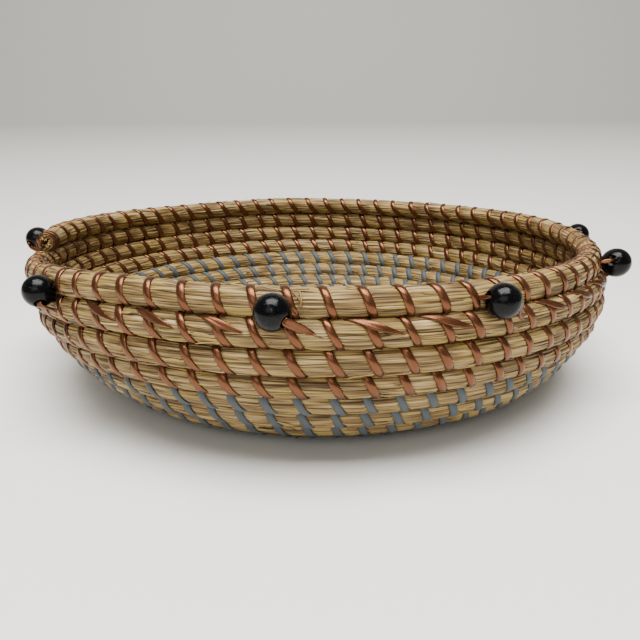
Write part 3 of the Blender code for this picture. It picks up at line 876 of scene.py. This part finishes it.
crossing("end_ribbon_1", TIP_START + 0.0014, TIP_START + 0.0014, 0.0024)
crossing("end_ribbon_2", TIP_START + 0.0040, TIP_START + 0.0110, 0.0030)
crossing("end_ribbon_3", TIP_START + 0.0120, TIP_START + 0.0045, 0.0030)
FOLD = ((-10.0, 1.04, 0.0006), (0.0, 0.70, -0.0009), (20.0, 0.30, -0.0008), (40.0, 0.10, 0.0014))
fold_places = []
for side, size, depth in FOLD:
    edge = surface_point(np.array([TIP_START]), np.array([side]))[0][0]
    fold_places.append(end_middle + (edge - end_middle) * size + inward * depth)
fold_facing = np.repeat(-inward[None, :], FOLD_STEPS, axis=0)
fold_width = np.linspace(0.0026, 0.0016, FOLD_STEPS)
ribbon_along("end_ribbon_4", smooth_path(fold_places, FOLD_STEPS), fold_facing, fold_width)

# %% [markdown]
# ## Materials
# Shader maths reads better as expressions. One small class wraps a node socket and lets +,
# - and * add the Math nodes, also with the number first, so a mask can be written as 1 - mask.

# %% Socket maths
class Socket:
    def __init__(self, tree, link):
        self.tree = tree
        self.link = link

    def maths(self, operation, first, second):
        return add_node(self.tree, "ShaderNodeMath", {0: first, 1: second}, operation=operation)

    def __add__(self, other):
        return self.maths("ADD", self, other)

    def __sub__(self, other):
        return self.maths("SUBTRACT", self, other)

    def __mul__(self, other):
        return self.maths("MULTIPLY", self, other)

    def __rsub__(self, other):
        return self.maths("SUBTRACT", other, self)

    __radd__ = __add__
    __rmul__ = __mul__


def add_node(tree, kind, inputs=None, output=0, **settings):
    """Adds a node with its settings and fills its inputs with values or links."""
    node = tree.nodes.new(kind)
    for key, value in settings.items():
        if key == "stops":
            ramp = node.color_ramp
            while len(ramp.elements) < len(value):
                ramp.elements.new(0.5)
            for element, (position, colour) in zip(ramp.elements, value):
                element.position = position
                element.color = (*colour, 1.0)
        else:
            setattr(node, key, value)
    for key, value in (inputs or {}).items():
        if isinstance(value, Socket):
            tree.links.new(value.link, node.inputs[key])
        else:
            node.inputs[key].default_value = value
    return Socket(tree, node.outputs[output])


def new_material(name):
    material = bpy.data.materials.new(name)
    material.use_nodes = True
    shader = material.node_tree.nodes["Principled BSDF"]
    return material, material.node_tree, shader


def mix_colour(tree, factor, first, second, blend="MIX"):
    return add_node(
        tree, "ShaderNodeMix", {0: factor, 6: first, 7: second}, output=2, data_type="RGBA",
        blend_type=blend,
    )


def feed(tree, shader, **links):
    for key, value in links.items():
        tree.links.new(value.link, shader.inputs[key.replace("_", " ")])


def feed_bump(tree, shader, height, strength, distance):
    """Fine relief: the height leans the surface's normal, at most distance metres deep."""
    inputs = {"Strength": strength, "Distance": distance, "Height": height}
    feed(tree, shader, Normal=add_node(tree, "ShaderNodeBump", inputs))


# %% [markdown]
# ### Straw
# Dry straw is pale tan with some yellow and some brown stalks, a faint shine along its
# length and cracks darkened with painted shade. The colour follows the straws: a noise
# stretched along the bundle gives fibres, the stored tone tells stalks apart, and the stored
# crack value paints shade into the gaps.

# %% Straw material
def straw_material():
    material, tree, shader = new_material("dry_straw")
    uv = add_node(tree, "ShaderNodeUVMap", uv_map="along")
    tone = add_node(tree, "ShaderNodeAttribute", attribute_name="tone", output=2)
    crack = add_node(tree, "ShaderNodeAttribute", attribute_name="crack", output=2)
    fibres = add_node(tree, "ShaderNodeMapping", {0: uv, 3: (34.0, 3000.0, 1.0)})
    fine = add_node(tree, "ShaderNodeTexNoise", {0: fibres, 2: 1.0, 3: 3.0, 4: 0.6})
    broad_map = add_node(tree, "ShaderNodeMapping", {0: uv, 3: (26.0, 800.0, 1.0)})
    broad = add_node(tree, "ShaderNodeTexNoise", {0: broad_map, 2: 1.0, 3: 2.0, 4: 0.5})
    patch_map = add_node(tree, "ShaderNodeMapping", {0: uv, 3: (38.0, 200.0, 1.0)})
    patch = add_node(tree, "ShaderNodeTexNoise", {0: patch_map, 2: 1.0, 3: 2.0, 4: 0.5})
    shade = tone * 0.20 + broad * 1.00 + fine * 0.60 - 0.25
    base = add_node(tree, "ShaderNodeValToRGB", {0: shade}, stops=(
        (0.0, (0.040, 0.020, 0.006)), (0.28, (0.135, 0.075, 0.022)), (0.50, (0.275, 0.173, 0.062)),
        (0.72, (0.43, 0.295, 0.122)), (1.0, (0.67, 0.51, 0.255)),
    ))
    golden = add_node(tree, "ShaderNodeValToRGB", {0: patch + tone * 0.08}, stops=(
        (0.0, (0.0, 0.0, 0.0)), (0.52, (0.0, 0.0, 0.0)), (0.64, (1.0, 1.0, 1.0)),
    ))
    warm = mix_colour(tree, golden * 0.75, base, (0.40, 0.265, 0.068, 1.0))
    fibre_lines = add_node(tree, "ShaderNodeMapRange", {0: fine, 1: 0.36, 2: 0.52, 3: 0.40, 4: 1.0})
    grey = {0: fibre_lines, 1: fibre_lines, 2: fibre_lines}
    lined = mix_colour(tree, 1.0, warm, add_node(tree, "ShaderNodeCombineColor", grey), "MULTIPLY")
    # Thin dark lines along the straw are painted shade that stands for fine splits.
    split_place = {0: uv, 1: (3.1, 0.7, 0.0), 3: (46.0, 1500.0, 1.0)}
    split_map = add_node(tree, "ShaderNodeMapping", split_place)
    split = add_node(tree, "ShaderNodeTexNoise", {0: split_map, 2: 1.0, 3: 2.0, 4: 0.5})
    split_painted_shade = add_node(tree, "ShaderNodeMapRange", {0: split, 1: 0.33, 2: 0.39, 3: 0.85, 4: 0.0})
    straw_with_split_shade = mix_colour(tree, split_painted_shade, lined, (0.060, 0.032, 0.012, 1.0))
    # Painted shade in the cracks between straws and in the hollow of the cut end.
    straw_with_painted_crack_shade = mix_colour(tree, crack * 0.92, straw_with_split_shade, (0.030, 0.016, 0.006, 1.0))
    feed(tree, shader, Base_Color=straw_with_painted_crack_shade, Roughness=0.42 + broad * 0.25)
    shader.inputs["Specular IOR Level"].default_value = 0.28
    feed_bump(tree, shader, fine * 0.6 + broad * 0.5, 0.7, 0.00035)
    return material


straw = straw_material()
for piece in straw_rows + loose:
    piece.data.materials.append(straw)

# %% [markdown]
# ### Ribbon
# The copper ribbon has a satin, slightly metallic face with fine lengthwise lines, and
# the slate ribbon is the same make in a flat grey blue.

# %% Ribbon materials
def ribbon_material(name, pale, deep, roughness, metallic, sheen_lines):
    material, tree, shader = new_material(name)
    uv = add_node(tree, "ShaderNodeUVMap", uv_map="along")
    line_map = add_node(tree, "ShaderNodeMapping", {0: uv, 3: (40.0, 4200.0, 1.0)})
    lines = add_node(tree, "ShaderNodeTexNoise", {0: line_map, 2: 1.0, 3: 2.0, 4: 0.5})
    worn_map = add_node(tree, "ShaderNodeMapping", {0: uv, 3: (130.0, 500.0, 1.0)})
    worn = add_node(tree, "ShaderNodeTexNoise", {0: worn_map, 2: 1.0, 3: 3.0, 4: 0.6})
    colour = mix_colour(tree, lines * 0.7 + worn * 0.5 - 0.1, deep, pale)
    feed(tree, shader, Base_Color=colour, Roughness=roughness + worn * 0.26)
    shader.inputs["Metallic"].default_value = metallic
    feed_bump(tree, shader, lines * sheen_lines + worn * 0.4, 0.5, 0.00012)
    return material


PALE_COPPER, DEEP_COPPER = (0.225, 0.084, 0.036, 1.0), (0.066, 0.023, 0.010, 1.0)
PALE_SLATE, DEEP_SLATE = (0.070, 0.084, 0.092, 1.0), (0.036, 0.046, 0.052, 1.0)
COPPER_PIECES = ("copper_ribbon", "slant_strand", "bead_ribbon", "end_")
copper = ribbon_material("copper_satin", PALE_COPPER, DEEP_COPPER, 0.14, 0.82, 1.0)
slate = ribbon_material("slate_ribbon", PALE_SLATE, DEEP_SLATE, 0.50, 0.0, 0.8)
for piece in bpy.context.scene.objects:
    if piece.type == "MESH" and piece.name.startswith(COPPER_PIECES):
        piece.data.materials.append(copper)
    if piece.type == "MESH" and piece.name.startswith("slate_ribbon"):
        piece.data.materials.append(slate)

# %% [markdown]
# ### Black beads
# Lacquered wood: nearly black, smooth enough to mirror the lights softly, with a few paler
# scuffs where the lacquer has rubbed.

# %% Bead material
def bead_material():
    material, tree, shader = new_material("black_lacquered_wood")
    place = add_node(tree, "ShaderNodeTexCoord", output=3)
    grain = add_node(tree, "ShaderNodeTexNoise", {0: place, 2: 420.0, 3: 4.0, 4: 0.6})
    specks = add_node(tree, "ShaderNodeTexNoise", {0: place, 2: 1500.0, 3: 2.0, 4: 0.5})
    mask = add_node(tree, "ShaderNodeMapRange", {0: specks, 1: 0.66, 2: 0.72})
    colour = mix_colour(tree, grain, (0.0003, 0.0004, 0.0006, 1.0), (0.0020, 0.0022, 0.0030, 1.0))
    scuffed = mix_colour(tree, mask * 0.35, colour, (0.10, 0.095, 0.09, 1.0))
    feed(tree, shader, Base_Color=scuffed, Roughness=0.08 + grain * 0.16)
    shader.inputs["Specular IOR Level"].default_value = 0.16
    feed_bump(tree, shader, grain + specks * 0.5, 0.35, 0.0003)
    return material


black = bead_material()
for bead in beads:
    bead.data.materials.clear()
    bead.data.materials.append(black)

# %% [markdown]
# ## Floor and light
# The basket stands on a pale seamless sheet that curves up behind it, with painted shade higher up.
# One large soft light hangs overhead, so the beads carry a bright spot on top and the basket's
# own shadow is a soft dark pool under its wall. A weak one in front lightens the lower rows.

# %% Floor and backdrop
# The second colour is painted shade for the upper part of the sheet.
PALE_SHEET, SHEET_PAINTED_SHADE = (0.94, 0.935, 0.90, 1.0), (0.31, 0.304, 0.277, 1.0)


def backdrop():
    steps = 24
    front, back, rise, bend = -0.9, 0.75, 1.3, 0.45
    line = [(front, 0.0), (back - bend, 0.0)]
    for i in range(1, steps + 1):
        angle = math.pi / 2.0 * i / steps
        line.append((back - bend + bend * math.sin(angle), bend * (1.0 - math.cos(angle))))
    line.append((back, rise))
    points, faces = [], []
    for y, z in line:
        points.append((-1.8, y, z))
        points.append((1.8, y, z))
    for i in range(len(line) - 1):
        faces.append((2 * i, 2 * i + 1, 2 * i + 3, 2 * i + 2))
    mesh = bpy.data.meshes.new("backdrop")
    mesh.from_pydata(points, [], faces)
    mesh.shade_smooth()
    sheet = bpy.data.objects.new("backdrop", mesh)
    bpy.context.scene.collection.objects.link(sheet)
    material, tree, shader = new_material("pale_sheet")
    place = add_node(tree, "ShaderNodeTexCoord", output=3)
    height = add_node(tree, "ShaderNodeSeparateXYZ", {0: place}, output=2)
    # Painted shade: the sheet turns to the dim colour from the floor up to 13 cm.
    painted_wall_shade = add_node(tree, "ShaderNodeMapRange", {0: height, 1: 0.0, 2: 0.13})
    feed(tree, shader, Base_Color=mix_colour(tree, painted_wall_shade, PALE_SHEET, SHEET_PAINTED_SHADE))
    shader.inputs["Roughness"].default_value = 0.7
    sheet.data.materials.append(material)


backdrop()

# %% Lights
def area_light(name, place, target, size, power, colour):
    data = bpy.data.lights.new(name, "AREA")
    data.shape = "RECTANGLE"
    data.size, data.size_y = size
    data.energy = power
    data.color = colour
    light = bpy.data.objects.new(name, data)
    bpy.context.scene.collection.objects.link(light)
    light.location = place
    light.rotation_mode = "QUATERNION"
    light.rotation_quaternion = (Vector(target) - Vector(place)).to_track_quat("-Z", "Y")


WARM_WHITE, COOL_WHITE = (1.0, 0.99, 0.965), (0.96, 0.98, 1.0)
area_light("overhead", (0.0, -0.30, 1.23), (0.0, 0.0, 0.0), (1.1, 0.8), 42.0, WARM_WHITE)
area_light("front_fill", (-0.3, -1.5, 0.9), (0.0, 0.0, 0.05), (1.2, 0.8), 6.0, COOL_WHITE)
world = bpy.data.worlds.new("soft_room")
world.use_nodes = True
world.node_tree.nodes["Background"].inputs[0].default_value = (1.0, 0.97, 0.89, 1.0)
world.node_tree.nodes["Background"].inputs[1].default_value = 0.27
bpy.context.scene.world = world
